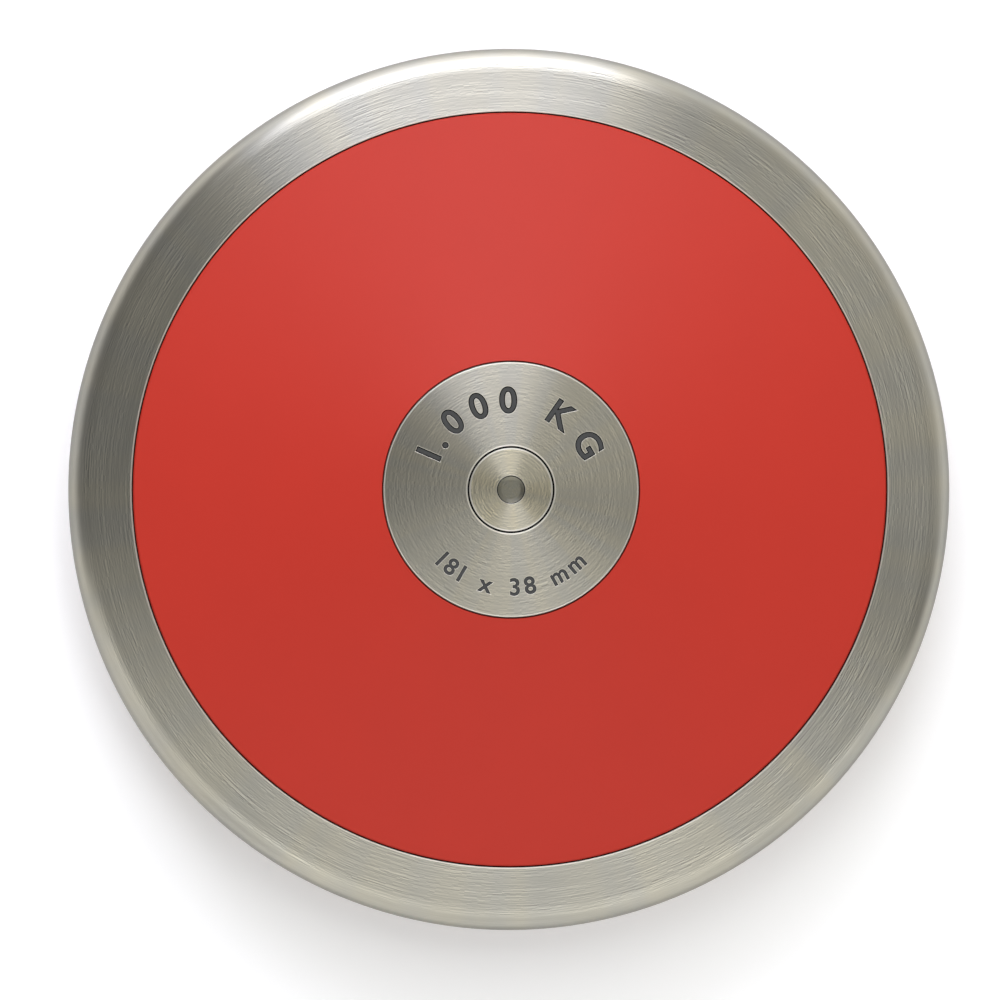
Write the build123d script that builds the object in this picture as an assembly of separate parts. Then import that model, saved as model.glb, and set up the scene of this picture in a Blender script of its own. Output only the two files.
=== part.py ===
from build123d import *

import os
from math import asin, atan2, cos, hypot, sin, tan

# A 1 kg throwing discus: a turned steel rim held between two ribbed plastic side plates.
# A steel plate is let flush into the middle of each side, and one fastener through the
# middle pulls everything together on a hollow hub core. Millimetres. The origin is the
# centre of the discus, and +Z is the axis it spins about.

# Outer form, as the rules for a 1 kg discus set it
rim_diameter = 181.0
overall_thickness = 38.0  # across the two centre plates
centre_plate_diameter = 52.0
rim_edge_radius = 6.1  # the edge is a true half circle

# Rim
rim_face_width = 13.3  # from the outer edge to the joint with a side plate
web_width = 4.2  # the web is what the side plates grip, inside the joint
web_thickness = 4.8
web_groove_depth = 1.0  # a turned groove that keys the cement
web_groove_width = 2.0
rim_chamfer = 0.25

# Side plates
plate_wall = 2.6
plate_edge_chamfer = 0.3
spigot_wall = 2.0  # the ring that centres a side plate inside the rim's web
spigot_end_gap = 0.4  # from a spigot's end to the middle of the discus
rib_count = 12
rib_thickness = 1.6
rib_end_gap = 2.0  # from a rib's free edge to the middle of the discus
ring_rib_thickness = 1.6
root_chamfer = 1.0  # stiffens the corner where the boss leaves the plate's floor
boss_wall = 2.2

# Joint between a side plate and the rim
joint_gap = 0.25  # filled by the edge seal
seal_setback = 0.35  # how far the seal lies below the surface
spigot_clearance = 0.1

# Centre plates
flange_thickness = 1.6
centre_chamfer = 0.25
centre_gap = 0.2  # round the plate, in the side plate's recess
boss_margin = 3.2  # metal round the fastener's head
boss_clearance = 0.1

# Fastener: a barrel nut from above and a screw from below
head_diameter = 17.0
head_thickness = 2.2
head_setback = 0.1  # keeps the heads just below the surface
head_gap = 0.3  # the dark ring round a head
head_chamfer = 0.25
barrel_diameter = 10.0
barrel_clearance = 0.1
barrel_flat_width = 8.6  # across the two flats that stop the nut turning
shoulder_reach = 3.0  # how far the screw's shoulder goes into the hub core
thread_diameter = 6.0
thread_clearance = 0.05
thread_engagement = 15.0
barrel_end_gap = 2.0  # between the barrel's end and the screw's shoulder
barrel_bore_relief = 2.0  # bore left over past the screw's tip
end_chamfer = 0.5
mark_diameter = 6.0  # the lathe centre mark in the nut's head
mark_depth = 0.4
hex_width = 5.0
hex_depth = 3.2

# Hub core and what it carries
core_wall = 2.6
ledge_width = 3.6  # how far the core's flange reaches under a side plate's floor
core_flange_thickness = 2.0
core_clearance = 0.3
balance_washer_count = 3
balance_washer_thickness = 1.2
washer_clearance = 0.2

# Radii and heights that follow
rim_radius = rim_diameter / 2
half_thickness = overall_thickness / 2
centre_plate_radius = centre_plate_diameter / 2
edge_centre_radius = rim_radius - rim_edge_radius
taper_run = edge_centre_radius - centre_plate_radius
# Each side is a straight taper from the flat centre to where the edge's curve begins.
taper = atan2(half_thickness, taper_run) - asin(rim_edge_radius / hypot(taper_run, half_thickness))

joint_radius = rim_radius - rim_face_width
web_radius = joint_radius - web_width
web_face_z = web_thickness / 2

side_plate_radius = joint_radius - joint_gap
spigot_radius = web_radius - spigot_clearance
spigot_bore_radius = spigot_radius - spigot_wall
recess_radius = centre_plate_radius + centre_gap
pocket_radius = recess_radius + plate_wall
recess_floor_z = half_thickness - flange_thickness
floor_under_z = recess_floor_z - plate_wall

head_radius = head_diameter / 2
counterbore_radius = head_radius + head_gap
counterbore_z = half_thickness - head_setback - head_thickness
centre_boss_radius = counterbore_radius + boss_margin
barrel_radius = barrel_diameter / 2
barrel_bore_radius = barrel_radius + barrel_clearance
thread_radius = thread_diameter / 2

plate_bore_radius = centre_boss_radius + boss_clearance
core_radius = barrel_bore_radius + core_wall
core_flange_radius = plate_bore_radius + ledge_width
boss_bore_radius = core_flange_radius + core_clearance
boss_radius = boss_bore_radius + boss_wall
washer_bore_radius = core_radius + washer_clearance
washer_radius = core_flange_radius
washer_stack = balance_washer_count * balance_washer_thickness
stack_end_z = floor_under_z - core_flange_thickness

shoulder_end_z = shoulder_reach - floor_under_z
barrel_end_z = shoulder_end_z + barrel_end_gap
screw_tip_z = barrel_end_z + thread_engagement
barrel_bore_end_z = screw_tip_z + barrel_bore_relief


def taper_z(radius):
    """Height of the tapered side above the middle of the discus."""
    return half_thickness - (radius - centre_plate_radius) * tan(taper)


def inner_z(radius):
    """Height of a side plate's inside face, one wall below the tapered side."""
    return taper_z(radius) - plate_wall / cos(taper)


def spun(profile):
    """The solid that a profile of (radius, height) points sweeps about the Z axis."""
    return revolve(Plane.XZ * profile, Axis.Z)


def outline(*points):
    return make_face(Polyline(*points, close=True))


def corners(profile, *points):
    """The profile's vertices that lie at the given points."""
    return [profile.vertices().sort_by_distance(Vector(*point))[0] for point in points]


def flipped(part):
    """The same piece as it lies on the other side of the discus."""
    return Rot(180, 0, 0) * part


def ring(inner_radius, outer_radius, low_z, high_z):
    return spun(
        outline(
            (inner_radius, low_z),
            (outer_radius, low_z),
            (outer_radius, high_z),
            (inner_radius, high_z),
        )
    )


def make_rim():
    curve_start = (edge_centre_radius + rim_edge_radius * sin(taper), rim_edge_radius * cos(taper))
    curve_end = (curve_start[0], -curve_start[1])
    face_corner = (joint_radius, taper_z(joint_radius))
    groove_z = web_groove_width / 2
    edge = ThreePointArc(curve_start, (rim_radius, 0), curve_end)
    inside = Polyline(
        curve_end,
        (joint_radius, -face_corner[1]),
        (joint_radius, -web_face_z),
        (web_radius, -web_face_z),
        (web_radius, -groove_z),
        (web_radius + web_groove_depth, 0),
        (web_radius, groove_z),
        (web_radius, web_face_z),
        (joint_radius, web_face_z),
        face_corner,
        curve_start,
    )
    profile = make_face(edge + inside)
    sharp = corners(profile, face_corner, (joint_radius, -face_corner[1]))
    return spun(chamfer(sharp, rim_chamfer))


def make_side_plate():
    outer_corner = (side_plate_radius, taper_z(side_plate_radius))
    boss_root = (boss_radius, floor_under_z)
    shell = outline(
        (plate_bore_radius, recess_floor_z),
        (recess_radius, recess_floor_z),
        (recess_radius, taper_z(recess_radius)),
        outer_corner,
        (side_plate_radius, web_face_z),
        (spigot_radius, web_face_z),
        (spigot_radius, spigot_end_gap),
        (spigot_bore_radius, spigot_end_gap),
        (spigot_bore_radius, inner_z(spigot_bore_radius)),
        (pocket_radius, inner_z(pocket_radius)),
        (pocket_radius, floor_under_z),
        boss_root,
        (boss_radius, 0),
        (boss_bore_radius, 0),
        (boss_bore_radius, floor_under_z),
        (plate_bore_radius, floor_under_z),
    )
    shell = chamfer(corners(shell, boss_root), root_chamfer)
    plate = spun(chamfer(corners(shell, outer_corner), plate_edge_chamfer))

    # Each rib starts inside the boss's wall and ends inside the spigot's, so it joins both.
    rib_start = boss_radius - boss_wall / 2
    rib_end = spigot_radius - spigot_wall / 2
    rib_depth_in_wall = plate_wall / 2
    rib_face = outline(
        (rib_start, rib_end_gap),
        (rib_end, rib_end_gap),
        (rib_end, inner_z(rib_end) + rib_depth_in_wall),
        (pocket_radius, inner_z(pocket_radius) + rib_depth_in_wall),
        (rib_start, floor_under_z + rib_depth_in_wall),
    )
    rib = extrude(Plane.XZ * rib_face, rib_thickness / 2, both=True)
    ring_rib_radius = (boss_radius + spigot_bore_radius) / 2
    ring_rib = ring(
        ring_rib_radius - ring_rib_thickness / 2,
        ring_rib_radius + ring_rib_thickness / 2,
        rib_end_gap,
        inner_z(ring_rib_radius) + rib_depth_in_wall,
    )
    return plate + [spoke * rib for spoke in PolarLocations(0, rib_count)] + ring_rib


def make_edge_seal():
    return spun(
        outline(
            (side_plate_radius, web_face_z),
            (joint_radius, web_face_z),
            (joint_radius, taper_z(joint_radius) - rim_chamfer - seal_setback),
            (side_plate_radius, taper_z(side_plate_radius) - rim_chamfer - seal_setback),
        )
    )


def make_centre_plate(keyed):
    """A turned steel plate. The upper one is keyed: its bore has the two flats of the barrel nut."""
    top_edge = (centre_plate_radius, half_thickness)
    mouth = (counterbore_radius, half_thickness)
    profile = outline(
        mouth,
        top_edge,
        (centre_plate_radius, recess_floor_z),
        (centre_boss_radius, recess_floor_z),
        (centre_boss_radius, floor_under_z),
        (0, floor_under_z),
        (0, counterbore_z),
        (counterbore_radius, counterbore_z),
    )
    plate = spun(chamfer(corners(profile, top_edge, mouth), centre_chamfer))
    bore = Cylinder(barrel_bore_radius, half_thickness, align=(Align.CENTER, Align.CENTER, Align.MIN))
    if keyed:
        bore &= Box(overall_thickness, barrel_flat_width + 2 * barrel_clearance, overall_thickness)
    return plate - bore


def make_head():
    """The head that both fasteners share, in its place on the upper side."""
    top_z = half_thickness - head_setback
    rim_corner = (head_radius, top_z)
    profile = outline((0, counterbore_z), (head_radius, counterbore_z), rim_corner, (0, top_z))
    return spun(chamfer(corners(profile, rim_corner), head_chamfer))


def make_barrel_nut():
    top_z = half_thickness - head_setback
    end_corner = (barrel_radius, barrel_end_z)
    shank = outline((0, barrel_end_z), end_corner, (barrel_radius, counterbore_z), (0, counterbore_z))
    barrel = spun(chamfer(corners(shank, end_corner), end_chamfer))
    # The flats run the shank's whole length, so that it passes the keyed bore.
    barrel &= Box(barrel_diameter, barrel_flat_width, overall_thickness)
    nut = make_head() + barrel

    thread_bore = ring(0, thread_radius, barrel_end_z, barrel_bore_end_z)
    mark = ring(0, mark_diameter / 2, top_z - mark_depth, top_z)
    return nut - thread_bore - mark


def make_clamp_screw():
    """Built in its place on the lower side, so its head is turned over first."""
    tip_corner = (thread_radius - thread_clearance, screw_tip_z)
    shoulder_corner = (barrel_radius, shoulder_end_z)
    shank = outline(
        (0, -counterbore_z),
        (barrel_radius, -counterbore_z),
        shoulder_corner,
        (tip_corner[0], shoulder_end_z),
        tip_corner,
        (0, screw_tip_z),
    )
    screw = flipped(make_head()) + spun(chamfer(corners(shank, tip_corner, shoulder_corner), end_chamfer))
    socket = extrude(RegularPolygon(hex_width / 2, 6, major_radius=False), hex_depth)
    return screw - Pos(0, 0, -(half_thickness - head_setback)) * socket


def make_hub_core():
    """A spool with its flange below; the loose backing washer closes its upper end."""
    tube = ring(barrel_bore_radius, core_radius, -floor_under_z, floor_under_z)
    flange = ring(barrel_bore_radius, core_flange_radius, -floor_under_z, -stack_end_z)
    return tube + flange


def make_backing_washer():
    return ring(washer_bore_radius, core_flange_radius, stack_end_z, floor_under_z)


def make_cushion_ring():
    """The soft ring above the balance washers, which keeps them from rattling."""
    return ring(washer_bore_radius, washer_radius, washer_stack / 2, stack_end_z)


def make_balance_washer(place):
    low_z = place * balance_washer_thickness - washer_stack / 2
    return ring(washer_bore_radius, washer_radius, low_z, low_z + balance_washer_thickness)


side_plate = make_side_plate()
edge_seal = make_edge_seal()
cushion_ring = make_cushion_ring()

parts = {
    "rim": make_rim(),
    "upper_side_plate": side_plate,
    "lower_side_plate": flipped(side_plate),
    "upper_edge_seal": edge_seal,
    "lower_edge_seal": flipped(edge_seal),
    "upper_centre_plate": make_centre_plate(keyed=True),
    "lower_centre_plate": flipped(make_centre_plate(keyed=False)),
    "barrel_nut": make_barrel_nut(),
    "clamp_screw": make_clamp_screw(),
    "hub_core": make_hub_core(),
    "backing_washer": make_backing_washer(),
    "upper_cushion_ring": cushion_ring,
    "lower_cushion_ring": flipped(cushion_ring),
}
for place in range(balance_washer_count):
    parts[f"balance_washer_{place + 1}"] = make_balance_washer(place)

os.makedirs("parts", exist_ok=True)
for name, part in parts.items():
    part.label = name
    export_step(part, f"parts/{name}.step")
    print(name, round(part.volume), "mm3")
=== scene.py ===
from math import asin, atan2, cos, hypot, pi, radians, sin, tan

import bmesh
import bpy
from mathutils import Matrix, Vector


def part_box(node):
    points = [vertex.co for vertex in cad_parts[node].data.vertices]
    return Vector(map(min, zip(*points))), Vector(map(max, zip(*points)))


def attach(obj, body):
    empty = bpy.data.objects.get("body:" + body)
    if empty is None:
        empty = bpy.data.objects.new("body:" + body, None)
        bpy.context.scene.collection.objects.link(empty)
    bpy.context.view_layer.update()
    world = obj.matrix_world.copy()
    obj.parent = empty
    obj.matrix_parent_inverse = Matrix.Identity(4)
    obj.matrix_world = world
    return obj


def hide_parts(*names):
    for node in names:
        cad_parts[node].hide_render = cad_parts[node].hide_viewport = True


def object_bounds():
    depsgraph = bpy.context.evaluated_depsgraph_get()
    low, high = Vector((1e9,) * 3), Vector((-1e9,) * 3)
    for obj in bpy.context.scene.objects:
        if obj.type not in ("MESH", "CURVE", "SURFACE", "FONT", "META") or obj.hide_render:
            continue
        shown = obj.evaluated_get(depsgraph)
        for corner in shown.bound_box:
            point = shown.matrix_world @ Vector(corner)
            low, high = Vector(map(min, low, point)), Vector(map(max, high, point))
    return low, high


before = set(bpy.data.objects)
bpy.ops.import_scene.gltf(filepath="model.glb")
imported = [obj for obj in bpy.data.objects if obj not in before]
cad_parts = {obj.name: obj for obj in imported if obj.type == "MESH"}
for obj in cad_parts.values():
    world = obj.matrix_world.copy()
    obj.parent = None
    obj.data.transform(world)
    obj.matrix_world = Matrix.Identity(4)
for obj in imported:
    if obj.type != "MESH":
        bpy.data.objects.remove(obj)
cad_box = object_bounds()
for imported in list(bpy.data.materials):
    bpy.data.materials.remove(imported)

# A 1 kg discus, seen from straight above on a white floor. Profiles are (radius, height) in
# millimetres from the middle of the discus; the studio is in metres. A clock angle is in
# degrees, clockwise from the top of the photograph, which is +Y, as seen from above.
mm = 0.001


def half_width(node):
    """How far a round node reaches from the axis, in millimetres."""
    low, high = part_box(node)
    return min(high.x, high.y, -low.x, -low.y) / mm


def top_of(node):
    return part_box(node)[1].z / mm


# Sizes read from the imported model
rim_radius = half_width("rim")
joint_radius = half_width("upper_edge_seal")
plate_radius = half_width("upper_centre_plate")
head_radius = half_width("barrel_nut")
half_thickness = top_of("upper_centre_plate")
head_top = top_of("barrel_nut")
plate_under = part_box("upper_centre_plate")[0].z / mm
barrel_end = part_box("barrel_nut")[0].z / mm

# Sizes inside the pieces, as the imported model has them. Only the nut's barrel, which nothing
# shows, differs: it is round, without its flats or the chamfer at its end, and bored 2 mm deeper.
edge_radius = 6.1
web_radius = 73.0
web_face = 2.4
groove_depth = 1.0
groove_face = 1.0
flange_thickness = 1.6
head_thickness = 2.2
head_gap = 0.3
boss_radius = 12.0
barrel_radius = 5.0
barrel_bore = 5.1
key_flat = 4.4  # from the axis to each flat of the upper plate's bore
thread_radius = 3.0
thread_end = 9.2

# Edges as they are finished, broken by small rounds
edge_round = 0.28
head_edge_round = 0.18
head_edge_land = 0.17  # the burnished flat beside the round, painted bright with it
plate_edge_land = 0.06
plate_relief = 0.1  # how far the plate's top edge stands back from its seat
plate_relief_depth = 0.6

# The mark in the nut's head
mark_radius = 2.9
mark_depth = 0.65
mark_round = 0.1
mark_wall = 0.24  # how far the wall leans in
mark_slope = 0.95  # how far in from the mark's edge the floor starts to rise
mark_rise = 0.2  # how far it has risen at the wall

# How the meshes are made
turn_steps = 480
round_steps = 6
edge_steps = 60  # over the rim's outer edge
support_distance = 0.04  # from a round to the points that keep the faces beside it flat
taper_support = 0.3  # from the rim's outer edge to such a point
radius_margin = 0.1  # beyond a radius, when points are picked by it
height_margin = 0.01  # the same for a height
weld_distance = 0.001
sharp_angle = 25  # degrees between faces

# The engraved weight marks: text, height of its capitals, radius of its foot line, clock angle of
# its middle, and whether its letters' tops point away from the axis
weight_marks = [
    ("1.000 KG", 5.1, 15.7, 0, True),
    ("181 x 38 mm", 3.4, 21.4, 180, False),
]
engraving_lip = 0.08  # the bare metal at the top of a letter's wall, painted bright as a highlight
mouth_clearance = 0.02  # from the plate's top up to the cutter's mouth
floor_facing = -0.9  # the cutter's faces that look further down than this make the floors

# Shares of a letter's height. From about 0.07 for the first two together, the cutter's strokes run
# into each other and nothing is cut.
engraving_share = 0.058  # how deep it is cut, and how wide its sloping wall is
letter_weight = 0.010  # how far a stroke is thickened
letter_space = 0.28  # between two letters
blank_share = 0.5  # width of a blank
capital_share = 0.7  # height of a capital as a share of the font's size

taper_run = rim_radius - edge_radius - plate_radius
taper = atan2(half_thickness, taper_run) - asin(edge_radius / hypot(taper_run, half_thickness))
counterbore_floor = head_top - head_thickness
counterbore_radius = head_radius + head_gap
recess_floor = half_thickness - flange_thickness


def taper_height(radius):
    """Height of the tapered side above the middle of the discus."""
    return half_thickness - (radius - plate_radius) * tan(taper)


# Materials, with lengths in metres

edge_mask = "broken_edge"  # the mesh attribute that is 1 on the faces of a broken edge, which get a painted highlight
# Broken edges are burnished steel, but painted near white, brighter than steel, as a highlight
edge_glint_colour = (0.98, 0.95, 0.86)
edge_roughness = 0.75
painted_shade_colour = (0.008, 0.007, 0.006)
painted_shade_roughness = 0.9
dull_gloss = 0.1  # of the painted shade on walls and in gaps, and of the paint on a letter's wall
noise_roughness = 0.6

# Layers of brush marks: their number as a share of the turns, their pitch, and their strength
mark_layers = [(4.4, 0.00055, 0.20), (1.8, 0.00050, 0.27), (0.6, 0.00060, 0.26)]
wander_scale = 5.0  # bends in a circle of marks
brush_depth = 0.000006
faint_brushing = 0.2  # strength of the brushing where the steel is polished
quarter_turn = 0.25  # stretches the highlights across the brushing

# Softer unevenness: patches in which the marks are stronger or fainter, and fans round the axis,
# with their numbers as shares of the turns
patch_turns = 0.3
patch_width = 0.004
patch_range = (0.3, 0.7)
patch_strengths = (0.5, 1.5)
fan_turns = 0.6
uneven_share = 0.3
tint_range = (0.35, 0.65)
warmth = (1.02, 1.0, 0.95)  # the tint of the warmer fans

# Flatness is 0 on a wall and 1 on a flat face
face_range = (0.82, 0.90)  # from the polished edge, painted darker as shade, to the brushed face
steep_edge_shade_range = (0.25, 0.75)  # painted shade over the steep edge, from its steepest part
wall_range = (0.45, 0.75)  # from a wall with painted shade to what lies flatter

shade_levels = (0.6, 1.4)  # brightness of the darkest and the lightest mark
# Painted shade: how bright the steep edge is painted, from its steepest part to the face
steep_edge_shade_levels = (0.5, 0.92)
mark_roughness = -0.1  # a light mark is smoother
polish_roughness = 0.06  # how much smoother the polished edge is

# Painted shade, dark and dull where shade falls: near the rim's joint, and in the gap round the nut's
# head below a height
joint_shade_reach = 1.0 * mm  # how far beyond the joint
head_gap_floor = (half_thickness - 0.7) * mm
everywhere = 1.0  # a radius that takes in the whole piece
radius_fade = 0.001
height_fade = 0.0002

# The bare lip of an engraved wall, a painted highlight, as shares of its width
lip_ragged = 0.3
lip_blend = 0.2
lip_grain = 3000.0  # cells to a metre
paint_roughness = 0.8

# A moulded surface
cloud_scale = 60.0
cloud_levels = (0.94, 1.06)
grain_roughness = 0.12


class Nodes:
    """Adds nodes to one tree. An input, given by its name or number, is a value or an output."""

    def __init__(self, tree):
        self.tree = tree
        tree.nodes.clear()

    def add(self, kind, inputs=None, output=0, **settings):
        node = self.tree.nodes.new(kind)
        for name, value in settings.items():
            setattr(node, name, value)
        for name, value in (inputs or {}).items():
            socket = node.inputs[name]
            if isinstance(value, bpy.types.NodeSocket):
                self.tree.links.new(value, socket)
            else:
                socket.default_value = value
        return node.outputs[output] if node.outputs else node

    def math(self, operation, *values, clamp=False):
        inputs = dict(enumerate(values))
        return self.add("ShaderNodeMath", inputs, operation=operation, use_clamp=clamp)

    def vector(self, operation, *values, output=0):
        inputs = dict(enumerate(values))
        return self.add("ShaderNodeVectorMath", inputs, output, operation=operation)

    def scaled(self, vector, scale):
        return self.add("ShaderNodeVectorMath", {0: vector, "Scale": scale}, operation="SCALE")

    def total(self, *values):
        result = values[0]
        for value in values[1:]:
            result = self.math("ADD", result, value)
        return result

    def carried(self, value, low, high, to_low=0.0, to_high=1.0):
        """The value carried smoothly from one range to another, and held at its ends."""
        inputs = {"Value": value, 1: low, 2: high, 3: to_low, 4: to_high}
        return self.add("ShaderNodeMapRange", inputs, interpolation_type="SMOOTHSTEP")

    def centred(self, noise, amount):
        """Noise that runs about 0.5, made to run about 0 and as strong as the amount."""
        return self.math("MULTIPLY", self.math("SUBTRACT", noise, 0.5), amount)

    def between(self, share, first, second):
        """A number that goes from the first to the second as the share goes from 0 to 1."""
        inputs = {0: share, 2: first, 3: second}
        return self.add("ShaderNodeMix", inputs, data_type="FLOAT")

    def mixed(self, share, first, second):
        """A colour that goes from the first to the second as the share goes from 0 to 1."""
        inputs = {0: share, 6: first, 7: second}
        return self.add("ShaderNodeMix", inputs, output=2, data_type="RGBA")

    def noise(self, place, scale, detail):
        inputs = {"Vector": place, "Scale": scale, "Detail": detail, "Roughness": noise_roughness}
        return self.add("ShaderNodeTexNoise", inputs, noise_dimensions="3D")

    def place(self):
        """Where the point lies on its object, in metres."""
        return self.add("ShaderNodeTexCoord", output="Object")

    def relief(self, height):
        """The normal of a surface that is this much higher, in metres."""
        return self.add("ShaderNodeBump", {"Strength": 1.0, "Distance": 1.0, "Height": height})

    def finish(self, **inputs):
        """The Principled surface, with its inputs named as Blender names them, apart from spaces."""
        named = {name.replace("_", " "): value for name, value in inputs.items()}
        surface = self.add("ShaderNodeBsdfPrincipled", named)
        self.add("ShaderNodeOutputMaterial", {"Surface": surface})


def new_material(name):
    material = bpy.data.materials.new(name)
    material.use_nodes = True
    return material, Nodes(material.node_tree)


def rgba(colour, level=1.0):
    return (*[channel * level for channel in colour], 1.0)


def warmer(colour):
    return [channel * share for channel, share in zip(colour, warmth)]


class TurnedField:
    """Where a point lies on a turned piece, in metres, with the angle in radians."""

    def __init__(self, nodes):
        place = nodes.place()
        apart = nodes.add("ShaderNodeSeparateXYZ", {"Vector": place}).node.outputs
        flat = nodes.vector("MULTIPLY", place, (1, 1, 0))
        self.radius = nodes.vector("LENGTH", flat, output="Value")
        self.direction = nodes.vector("NORMALIZE", flat)
        self.angle = nodes.math("ARCTAN2", apart["X"], apart["Y"])
        self.height = nodes.math("ABSOLUTE", apart["Z"])
        # Grows outwards over a face and on down over its edge
        self.outwards = nodes.math("SUBTRACT", self.radius, self.height)


def brush_marks(nodes, field, count, pitch, drift, seed):
    """Straight pairs of a light and a dark line with blunt ends, each pair of its own strength.

    There are `count` of them round each circle, the circles are a `pitch` apart, and they wander
    by `drift`.
    """
    wander = nodes.centred(nodes.noise(field.direction, wander_scale + seed, 0.0), drift)
    across = nodes.math("DIVIDE", nodes.math("ADD", field.outwards, wander), pitch)
    row = nodes.math("FLOOR", across)
    start = nodes.add("ShaderNodeTexWhiteNoise", {"W": row}, noise_dimensions="1D")
    turned_by = nodes.math("FRACT", nodes.math("MULTIPLY_ADD", field.angle, 1 / (2 * pi), start))
    along = nodes.math("FLOOR", nodes.math("MULTIPLY", turned_by, count))
    cell = nodes.add("ShaderNodeCombineXYZ", {"X": row, "Y": along, "Z": seed})
    strength = nodes.add("ShaderNodeTexWhiteNoise", {"Vector": cell}, noise_dimensions="3D")
    profile = nodes.math("SINE", nodes.math("MULTIPLY", across, 2 * pi))
    return nodes.math("MULTIPLY", profile, nodes.centred(strength, 2.0))


def all_brush_marks(nodes, field, turns, drift):
    """The layers of brush marks together, for marks that are about `turns` to a radian."""
    layers = []
    for seed, (number, pitch, share) in enumerate(mark_layers):
        count = round(2 * pi * turns * number)
        marks = brush_marks(nodes, field, count, pitch, drift, seed)
        layers.append(nodes.math("MULTIPLY", marks, share))
    return nodes.total(*layers)


def streaks(nodes, field, turns, pitch):
    """Soft noise drawn out round the axis: `turns` cells to a radian, and one to a `pitch` across."""
    across = nodes.math("DIVIDE", field.outwards, pitch)
    round_axis = nodes.scaled(field.direction, turns)
    cell = nodes.vector("ADD", round_axis, nodes.add("ShaderNodeCombineXYZ", {"Z": across}))
    return nodes.noise(cell, 1.0, 1.0)


def painted_shade_on(nodes, field, flatness, within, gap_floor):
    """1 within a radius, on walls and on what lies lower than the gap's floor, and 0 elsewhere."""
    wall = nodes.carried(flatness, *wall_range, 1.0, 0.0)
    floor = nodes.carried(field.height, gap_floor - height_fade, gap_floor, 1.0, 0.0)
    inside = nodes.carried(field.radius, within, within + radius_fade, 1.0, 0.0)
    return nodes.math("MULTIPLY", nodes.math("MAXIMUM", wall, floor), inside)


def brushed_steel(
    name,
    colour,
    roughness,
    anisotropy,
    turns,
    contrast=1.0,
    lean=0.0,
    drift=0.0,
    painted_shade_within=0.0,
    gap_floor=0.0,
):
    """Steel brushed round the axis, and polished where it curves away. Broken edges are bright.

    The brush marks are about `turns` to a radian. A facing cut leaves its grooves leaning
    outwards, by `lean` at the centre plate's edge and less towards the axis. Within a radius,
    walls and what lies lower than `gap_floor` get painted shade. The bright broken edges are
    burnished metal with a painted highlight, and the steep curve is painted darker as shade.
    """
    material, nodes = new_material(name)
    field = TurnedField(nodes)
    normal = nodes.add("ShaderNodeNewGeometry").node.outputs["Normal"]
    upwards = nodes.add("ShaderNodeSeparateXYZ", {"Vector": normal}, output="Z")
    flatness = nodes.math("ABSOLUTE", upwards)
    face = nodes.carried(flatness, *face_range)
    edge = nodes.add("ShaderNodeAttribute", output="Fac", attribute_name=edge_mask)
    # painted shade: walls and the gap round the head are painted dark and dull for the shade in them
    painted_shade = painted_shade_on(nodes, field, flatness, painted_shade_within, gap_floor)

    patch = streaks(nodes, field, turns * patch_turns, patch_width)
    strength = nodes.math("MULTIPLY", nodes.carried(patch, *patch_range, *patch_strengths), contrast)
    strength = nodes.math("MULTIPLY", strength, nodes.between(face, faint_brushing, 1.0))
    marks = nodes.math("MULTIPLY", all_brush_marks(nodes, field, turns, drift), strength)
    fans = nodes.noise(field.direction, turns * fan_turns, 1.0)
    uneven = uneven_share * contrast
    unevenness = nodes.total(nodes.centred(patch, uneven), nodes.centred(fans, uneven), 0.5)
    shade = nodes.math("ADD", marks, unevenness, clamp=True)

    # painted shade: the base colour darkens where the edge curves steeply away
    steep_edge_shade = nodes.carried(flatness, *steep_edge_shade_range, *steep_edge_shade_levels)
    brightness = nodes.between(shade, *shade_levels)
    brightness = nodes.math("MULTIPLY", brightness, nodes.between(face, steep_edge_shade, 1.0))
    tint = nodes.mixed(nodes.carried(fans, *tint_range), rgba(colour), rgba(warmer(colour)))
    # painted highlight: the broken edges get a near-white base colour
    base = nodes.mixed(edge, nodes.scaled(tint, brightness), rgba(edge_glint_colour))
    base = nodes.mixed(painted_shade, base, rgba(painted_shade_colour))

    rough = nodes.between(face, roughness - polish_roughness, roughness)
    rough = nodes.math("MULTIPLY_ADD", marks, mark_roughness, rough)
    rough = nodes.between(edge, rough, edge_roughness)

    brushing = nodes.math("MULTIPLY", marks, nodes.between(edge, brush_depth, 0.0))
    leaning = -lean / (2 * plate_radius * mm)
    height = nodes.math("MULTIPLY_ADD", nodes.math("POWER", field.radius, 2.0), leaning, brushing)
    nodes.finish(
        Base_Color=base,
        Metallic=nodes.between(painted_shade, 1.0, 0.0),
        Roughness=nodes.between(painted_shade, rough, painted_shade_roughness),
        Anisotropic=anisotropy,
        Anisotropic_Rotation=quarter_turn,
        Specular_IOR_Level=dull_gloss,
        Normal=nodes.relief(height),
        Tangent=nodes.add("ShaderNodeTangent", direction_type="RADIAL", axis="Z"),
    )
    return material


def shaded_letter_wall(name, colour):
    """An engraved letter's sloping wall: painted shade, with a lip of bare metal painted as a
    highlight.
    """
    material, nodes = new_material(name)
    place = nodes.place()
    ragged = nodes.centred(nodes.noise(place, lip_grain, 2.0), lip_ragged * engraving_lip * mm)
    height = nodes.math("ABSOLUTE", nodes.add("ShaderNodeSeparateXYZ", {"Vector": place}, output="Z"))
    height = nodes.math("ADD", height, ragged)
    lip_foot = (half_thickness - engraving_lip) * mm
    blend = lip_blend * engraving_lip * mm
    # painted highlight at the lip, and painted shade on the wall below it
    lip = nodes.carried(height, lip_foot - blend, lip_foot + blend)
    nodes.finish(
        Base_Color=nodes.mixed(lip, rgba(colour), rgba(edge_glint_colour)),
        Metallic=lip,
        Roughness=nodes.between(lip, paint_roughness, edge_roughness),
        Specular_IOR_Level=dull_gloss,
    )
    return material


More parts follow.
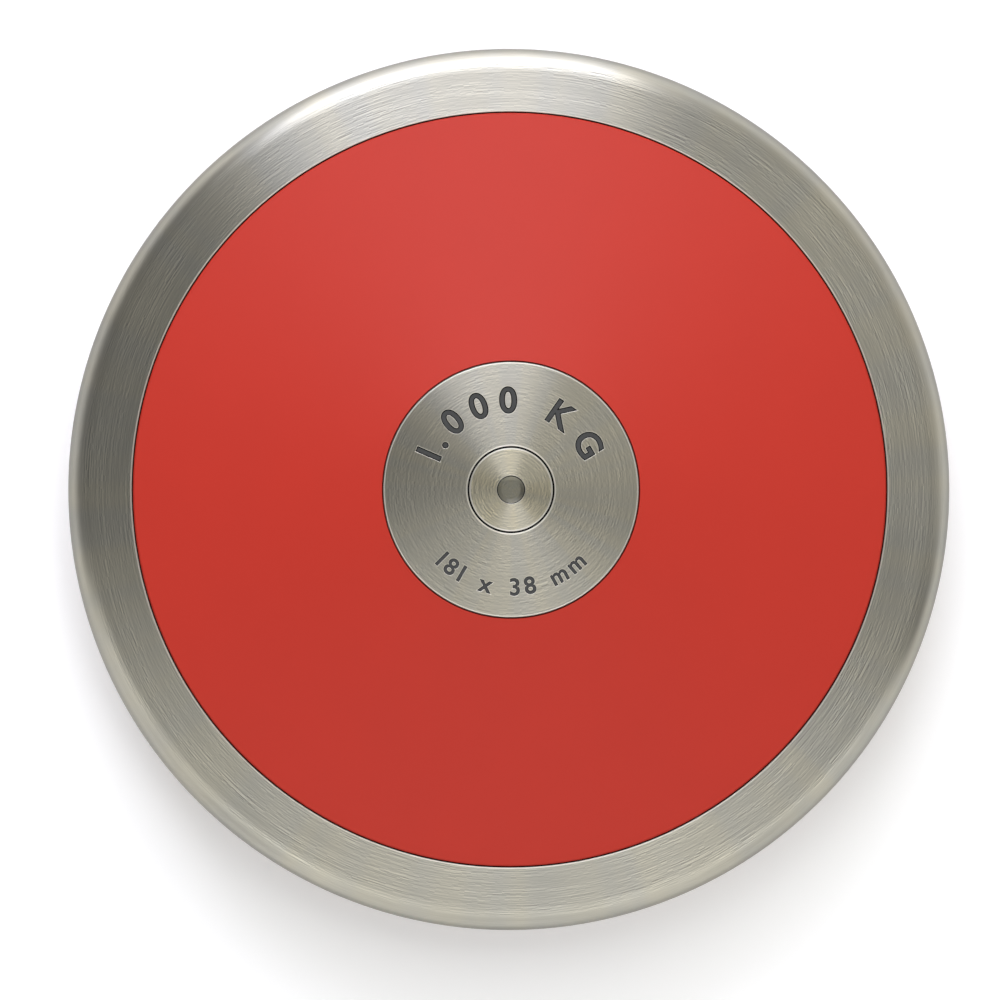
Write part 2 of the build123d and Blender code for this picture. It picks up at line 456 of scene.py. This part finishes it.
def moulded(name, colour, roughness, grain_size=0.0004, depth=0.000004, gloss=0.5):
    """A moulded or soft surface: fine grain, and a faint cloudiness in its colour."""
    material, nodes = new_material(name)
    place = nodes.place()
    grain = nodes.noise(place, 1 / grain_size, 3.0)
    cloud = nodes.noise(place, cloud_scale, 2.0)
    shade = nodes.total(nodes.centred(grain, 0.5), nodes.centred(cloud, 0.5), 0.5)
    darkest, lightest = cloud_levels
    rough = nodes.math("MULTIPLY_ADD", grain, grain_roughness, roughness - grain_roughness / 2)
    nodes.finish(
        Base_Color=nodes.mixed(shade, rgba(colour, darkest), rgba(colour, lightest)),
        Roughness=rough,
        Specular_IOR_Level=gloss,
        Normal=nodes.relief(nodes.math("MULTIPLY", grain, depth)),
    )
    return material


rim_steel = brushed_steel(
    "rim_steel",
    (0.53, 0.515, 0.45),
    roughness=0.40,
    anisotropy=0.85,
    turns=16,
    contrast=0.9,
    drift=0.0006,
    painted_shade_within=joint_radius * mm + joint_shade_reach,
)
plate_steel = brushed_steel(
    "plate_steel",
    (0.53, 0.51, 0.435),
    roughness=0.45,
    anisotropy=0.79,
    turns=9,
    contrast=0.6,
    lean=0.18,
    painted_shade_within=everywhere,
    gap_floor=head_gap_floor,
)
fastener_steel = brushed_steel(
    "fastener_steel",
    (0.63, 0.59, 0.46),
    roughness=0.45,
    anisotropy=0.87,
    turns=3,
    contrast=0.8,
    painted_shade_within=everywhere,
    gap_floor=head_gap_floor,
)
# darker steel on the mark's floor: painted shade in the recess
mark_shade_steel = brushed_steel(
    "mark_shade_steel",
    (0.295, 0.285, 0.23),
    roughness=0.40,
    anisotropy=0.0,
    turns=3,
    contrast=0.3,
    painted_shade_within=everywhere,
)
balance_steel = brushed_steel(
    "balance_steel", (0.5, 0.5, 0.5), roughness=0.4, anisotropy=0.7, turns=3
)
core_aluminium = brushed_steel(
    "core_aluminium", (0.75, 0.75, 0.76), roughness=0.38, anisotropy=0.6, turns=3
)
panel_red = moulded("panel_red", (0.475, 0.022, 0.009), roughness=0.55, gloss=0.42)
# the seal is near black, partly as the bead's own colour and partly as painted shade in the joint
# between the rim and the side plate
seal = moulded("seal", (0.02, 0.008, 0.006), roughness=0.7, gloss=0.1)
felt = moulded("felt", (0.25, 0.24, 0.22), roughness=0.9, grain_size=0.0008, depth=0.0001)
engraving_paint = moulded("engraving_paint", (0.056, 0.057, 0.056), roughness=0.45, gloss=0.3)
# near black: painted shade on a letter's wall
engraving_wall_shade = shaded_letter_wall("engraving_wall_shade", (0.004, 0.004, 0.004))


# Building turned pieces

def rounded(corners):
    """The corners' outline as (radius, height, broken).

    A corner's third value rounds it to that radius, and the stretches of the round are marked as
    broken. A point just before the round and one just after it keep the shading of the faces
    beside it flat. A corner's fourth value is the width of a burnished land on each side of the
    round, which is marked as broken too.
    """
    points = []
    for before, corner, after in zip(corners[-1:] + corners[:-1], corners, corners[1:] + corners[:1]):
        here = Vector(corner[:2])
        if len(corner) == 2:
            points.append((*here, False))
            continue
        radius = corner[2]
        burnished = len(corner) > 3
        land = corner[3] if burnished else support_distance
        back = (Vector(before[:2]) - here).normalized()
        ahead = (Vector(after[:2]) - here).normalized()
        half_turn = back.angle(ahead) / 2
        reach = radius / tan(half_turn)
        middle = here + (back + ahead).normalized() * (radius / sin(half_turn))
        start = here + back * reach - middle
        end = here + ahead * reach - middle
        points.append((*(here + back * (reach + land)), burnished))
        for step in range(round_steps + 1):
            point = middle + start.slerp(end, step / round_steps) * radius
            points.append((*point, burnished or step < round_steps))
        points.append((*(here + ahead * (reach + land)), False))
    return points


def add_object(name, data):
    piece = bpy.data.objects.new(name, data)
    bpy.context.scene.collection.objects.link(piece)
    return piece


def add_mesh(name, points, faces):
    mesh = bpy.data.meshes.new(name)
    mesh.from_pydata(points, [], faces)
    return add_object(name, mesh)


def turned(name, corners, *materials):
    """A closed outline turned about the axis, in millimetres. A point on the axis is shared."""
    points = []
    rings = []
    outline = rounded(corners)
    for radius, height, _ in outline:
        count = turn_steps if radius > 0 else 1
        rings.append(range(len(points), len(points) + count))
        for step in range(count):
            angle = 2 * pi * step / turn_steps
            points.append((radius * cos(angle), radius * sin(angle), height))
    faces = []
    edges = []
    for ring, following, (_, _, broken) in zip(rings, rings[1:] + rings[:1], outline):
        if len(ring) == len(following) == 1:
            continue
        for step in range(turn_steps):
            turn = (step, (step + 1) % turn_steps)
            corner_points = [ring[i % len(ring)] for i in turn]
            corner_points += [following[i % len(following)] for i in reversed(turn)]
            faces.append(tuple(dict.fromkeys(corner_points)))
            edges.append(float(broken))
    piece = add_mesh(name, points, faces)
    mask = piece.data.attributes.new(edge_mask, "FLOAT", "FACE")
    mask.data.foreach_set("value", edges)
    put_on(piece, *materials)
    return piece


def put_on(piece, *materials):
    piece.data.materials.clear()
    for material in materials:
        piece.data.materials.append(material)


def flattened(piece, half_gap, low, high, within):
    """Turned walls inside a radius and between two heights get flats facing +Y and -Y."""
    for point in piece.data.vertices:
        place = point.co
        if hypot(place.x, place.y) < within and low <= place.z <= high:
            place.y = max(-half_gap, min(half_gap, place.y))


def face_outwards(piece):
    shape = bmesh.new()
    shape.from_mesh(piece.data)
    bmesh.ops.recalc_face_normals(shape, faces=shape.faces)
    shape.to_mesh(piece.data)
    shape.free()


def stand_for(piece, node):
    """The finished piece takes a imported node's place, in metres, shaded smooth but for its edges."""
    face_outwards(piece)
    piece.data.transform(Matrix.Scale(mm, 4))
    piece.data.shade_smooth()
    piece.data.set_sharp_from_angle(angle=radians(sharp_angle))
    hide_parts(node)
    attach(piece, "root")


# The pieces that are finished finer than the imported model

def make_rim():
    edge_centre = rim_radius - edge_radius
    edge_start = edge_centre + edge_radius * sin(taper)
    support = edge_start - taper_support
    edge = [(support, taper_height(support))]
    for step in range(edge_steps + 1):
        angle = pi / 2 - taper - (pi - 2 * taper) * step / edge_steps
        edge.append((edge_centre + edge_radius * cos(angle), edge_radius * sin(angle)))
    edge.append((support, -taper_height(support)))
    joint = taper_height(joint_radius)
    corners = [
        (joint_radius, web_face),
        (joint_radius, joint, edge_round),
        *edge,
        (joint_radius, -joint, edge_round),
        (joint_radius, -web_face),
        (web_radius, -web_face),
        (web_radius, -groove_face),
        (web_radius + groove_depth, 0),
        (web_radius, groove_face),
        (web_radius, web_face),
    ]
    return turned("rim_turned", corners, rim_steel)


def make_centre_plate(name):
    top_radius = plate_radius - plate_relief
    corners = [
        (counterbore_radius, half_thickness, head_edge_round, head_edge_land),
        (top_radius, half_thickness, edge_round, plate_edge_land),
        (top_radius, half_thickness - plate_relief_depth),
        (plate_radius, half_thickness - plate_relief_depth - plate_relief),
        (plate_radius, recess_floor),
        (boss_radius, recess_floor),
        (boss_radius, plate_under),
        (barrel_bore, plate_under),
        (barrel_bore, counterbore_floor),
        (counterbore_radius, counterbore_floor),
    ]
    return turned(name, corners, plate_steel)


def make_nut():
    mark_floor = head_top - mark_depth
    corners = [
        (0, mark_floor),
        (mark_radius - mark_slope, mark_floor, mark_round),
        (mark_radius - mark_wall, mark_floor + mark_rise, mark_round),
        (mark_radius, head_top, mark_round),
        (head_radius, head_top, head_edge_round, head_edge_land),
        (head_radius, counterbore_floor),
        (barrel_radius, counterbore_floor),
        (barrel_radius, barrel_end),
        (thread_radius, barrel_end),
        (thread_radius, thread_end),
        (0, thread_end),
    ]
    nut = turned("barrel_nut_turned", corners, fastener_steel, mark_shade_steel)
    broken = nut.data.attributes[edge_mask].data
    for face in nut.data.polygons:
        centre = face.center
        if hypot(centre.x, centre.y) < mark_radius - mark_round / 2 and centre.z > counterbore_floor:
            face.material_index = nut.data.materials.find(mark_shade_steel.name)
            broken[face.index].value = 0.0
    return nut


def finished_mesh(piece):
    return bpy.data.meshes.new_from_object(piece.evaluated_get(bpy.context.evaluated_depsgraph_get()))


def letter_cutter(letter, height):
    """One letter as a solid that narrows downwards from its mouth, standing on the X axis."""
    data = bpy.data.curves.new("letter", "FONT")
    data.body = letter
    data.size = height / capital_share
    data.offset = letter_weight * height
    data.bevel_depth = engraving_share * height
    data.bevel_resolution = 0
    maker = add_object("letter", data)
    mesh = finished_mesh(maker)
    bpy.data.objects.remove(maker)
    return mesh


def lay_out(shape, text, height, base_radius, middle_clock, upright_outwards):
    """Adds one mark's letters to the shape, spaced along its foot line."""
    letters = [letter_cutter(letter, height) for letter in text]
    widths = []
    for mesh in letters:
        across = [point.co.x for point in mesh.vertices] or [0, height * blank_share]
        mesh.transform(Matrix.Translation((-(min(across) + max(across)) / 2, 0, 0)))
        widths.append(max(across) - min(across))
    space = height * letter_space
    length = sum(widths) + space * (len(text) - 1)
    along = -length / 2
    for mesh, width in zip(letters, widths):
        turn = (along + width / 2) / base_radius
        along += width + space
        clock = radians(middle_clock) + (turn if upright_outwards else -turn)
        foot = Vector((sin(clock), cos(clock), 0)) * base_radius
        foot.z = half_thickness + mouth_clearance
        facing = -clock if upright_outwards else pi - clock
        mesh.transform(Matrix.Translation(foot) @ Matrix.Rotation(facing, 4, "Z"))
        shape.from_mesh(mesh)
        bpy.data.meshes.remove(mesh)


def engraved(plate, marks):
    """Cuts the marks into the plate's top: floors in dark paint, walls near black as painted shade."""
    shape = bmesh.new()
    for mark in marks:
        lay_out(shape, *mark)
    bmesh.ops.remove_doubles(shape, verts=shape.verts, dist=weld_distance)
    bmesh.ops.recalc_face_normals(shape, faces=shape.faces)
    cutter = add_object("letters", bpy.data.meshes.new("letters"))
    put_on(cutter, plate_steel, engraving_paint, engraving_wall_shade)
    for face in shape.faces:
        paint = engraving_paint if face.normal.z < floor_facing else engraving_wall_shade
        face.material_index = cutter.data.materials.find(paint.name)
    shape.to_mesh(cutter.data)
    shape.free()
    cut = plate.modifiers.new("engraving", "BOOLEAN")
    cut.object = cutter
    cut.solver = "MANIFOLD"
    cut.material_mode = "TRANSFER"
    done = finished_mesh(plate)
    if not any(face.material_index for face in done.polygons):
        raise ValueError("the letters were not cut: their strokes run into each other")
    plate.modifiers.clear()
    plate.data = done
    bpy.data.objects.remove(cutter)


rim = make_rim()
upper_plate = make_centre_plate("upper_centre_plate_turned")
key_top = counterbore_floor + height_margin
flattened(upper_plate, key_flat, plate_under, key_top, barrel_bore + radius_margin)
face_outwards(upper_plate)
engraved(upper_plate, weight_marks)
lower_plate = make_centre_plate("lower_centre_plate_turned")
lower_plate.data.transform(Matrix.Rotation(pi, 4, "X"))
nut = make_nut()
stand_for(rim, "rim")
stand_for(upper_plate, "upper_centre_plate")
stand_for(lower_plate, "lower_centre_plate")
stand_for(nut, "barrel_nut")

nodes_by_material = {
    rim_steel: ["rim"],
    plate_steel: ["upper_centre_plate", "lower_centre_plate"],
    fastener_steel: ["barrel_nut", "clamp_screw"],
    balance_steel: ["balance_washer_1", "balance_washer_2", "balance_washer_3"],
    core_aluminium: ["hub_core", "backing_washer"],
    panel_red: ["upper_side_plate", "lower_side_plate"],
    seal: ["upper_edge_seal", "lower_edge_seal"],
    felt: ["upper_cushion_ring", "lower_cushion_ring"],
}
for material, names in nodes_by_material.items():
    for name in names:
        put_on(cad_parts[name], material)


# Studio

# The camera, and what the photograph's frame holds at the height of the rim's outer edge
photo_width = 0.2053
photo_centre = Vector((-0.0019, -0.00215, 0))
camera_place = Vector((-0.029, 0.002, 1.5))
sensor_width = 36.0  # millimetres, as the lens is

# The floor
floor_z = cad_box[0].z
floor_radius = 30.0
floor_albedo = 0.95
floor_glow = 0.14  # added for rays that see the floor as a background
far_floor_glow = 0.9  # the same where the lamps no longer reach
lit_radius = 0.25  # where the glow starts to rise
dim_radius = 1.0  # and where it has risen in full

# Light
world_level = 0.12
light_distance = 1.2
white = (1.0, 1.0, 1.0)

# Each soft box: clock angle, degrees down from overhead, degrees across and high, radiance, tint
soft_boxes = {
    "key": (352, 62, 45, 37, 4.6, (0.985, 1.0, 1.14)),
    "fill": (186, 50, 131, 34, 1.54, white),
    "top": (90, 11, 27, 11, 2.4, white),
    "side": (51, 65, 88, 38, 0.55, (1.0, 0.965, 0.88)),
    "low": (182, 79, 60, 20, 0.55, white),
    "overhead": (0, 28, 40, 40, 2.6, white),
}
unreflected = "overhead"  # lights the floor and the plastic, and isn't seen in the steel


def background_material(name):
    """White to the camera and in reflections, with the object's shadow kept."""
    material, nodes = new_material(name)
    rays = nodes.add("ShaderNodeLightPath").node
    seen = nodes.math("ADD", rays.outputs["Is Camera Ray"], rays.outputs["Is Glossy Ray"])
    seen = nodes.math("ADD", seen, rays.outputs["Is Transmission Ray"], clamp=True)
    distance = nodes.vector("LENGTH", nodes.place(), output="Value")
    level = nodes.carried(distance, lit_radius, dim_radius, floor_glow, far_floor_glow)
    glow = nodes.add("ShaderNodeEmission", {"Strength": nodes.math("MULTIPLY", seen, level)})
    lit = nodes.add("ShaderNodeBsdfDiffuse", {"Color": rgba(white, floor_albedo)})
    front = nodes.add("ShaderNodeAddShader", {0: lit, 1: glow})
    clear = nodes.add("ShaderNodeBsdfTransparent")
    behind = nodes.add("ShaderNodeNewGeometry").node.outputs["Backfacing"]
    surface = nodes.add("ShaderNodeMixShader", {0: behind, 1: front, 2: clear})
    nodes.add("ShaderNodeOutputMaterial", {"Surface": surface})
    return material


def add_floor():
    corners = [(-1, -1), (1, -1), (1, 1), (-1, 1)]
    points = [(x * floor_radius, y * floor_radius, floor_z) for x, y in corners]
    floor = add_mesh("floor", points, [(0, 1, 2, 3)])
    put_on(floor, background_material("floor_white"))


def direction_to(clock, down):
    """Unit vector towards a clock angle, so many degrees down from overhead."""
    across = sin(radians(down))
    return Vector((across * sin(radians(clock)), across * cos(radians(clock)), cos(radians(down))))


def add_soft_box(name, clock, down, across, high, radiance, tint):
    lamp = bpy.data.lights.new(name, "AREA")
    lamp.shape = "RECTANGLE"
    lamp.size = 2 * light_distance * tan(radians(across / 2))
    lamp.size_y = 2 * light_distance * tan(radians(high / 2))
    lamp.energy = radiance * pi * lamp.size * lamp.size_y
    lamp.color = tint
    box = add_object(name, lamp)
    towards = direction_to(clock, down)
    box.location = towards * light_distance
    box.rotation_mode = "QUATERNION"
    box.rotation_quaternion = (-towards).to_track_quat("-Z", "Y")
    box.visible_glossy = name != unreflected


def set_world():
    world = bpy.data.worlds.new("studio")
    world.use_nodes = True
    nodes = Nodes(world.node_tree)
    light = nodes.add("ShaderNodeBackground", {"Color": rgba(white), "Strength": world_level})
    nodes.add("ShaderNodeOutputWorld", {"Surface": light})
    bpy.context.scene.world = world


def add_camera():
    """Looks down at the photograph's centre, with the top of the photograph towards +Y."""
    ahead = (photo_centre - camera_place).normalized()
    right = ahead.cross(Vector((0, 1, 0))).normalized()
    up = right.cross(ahead)
    data = bpy.data.cameras.new("camera")
    data.sensor_width = sensor_width
    data.lens = sensor_width * (photo_centre - camera_place).length / photo_width
    camera = add_object("camera", data)
    turn = Matrix((right, up, -ahead)).transposed().to_4x4()
    camera.matrix_world = Matrix.Translation(camera_place) @ turn
    bpy.context.scene.camera = camera


add_floor()
for name, values in soft_boxes.items():
    add_soft_box(name, *values)
set_world()
add_camera()
bpy.context.scene.view_settings.view_transform = "Standard"
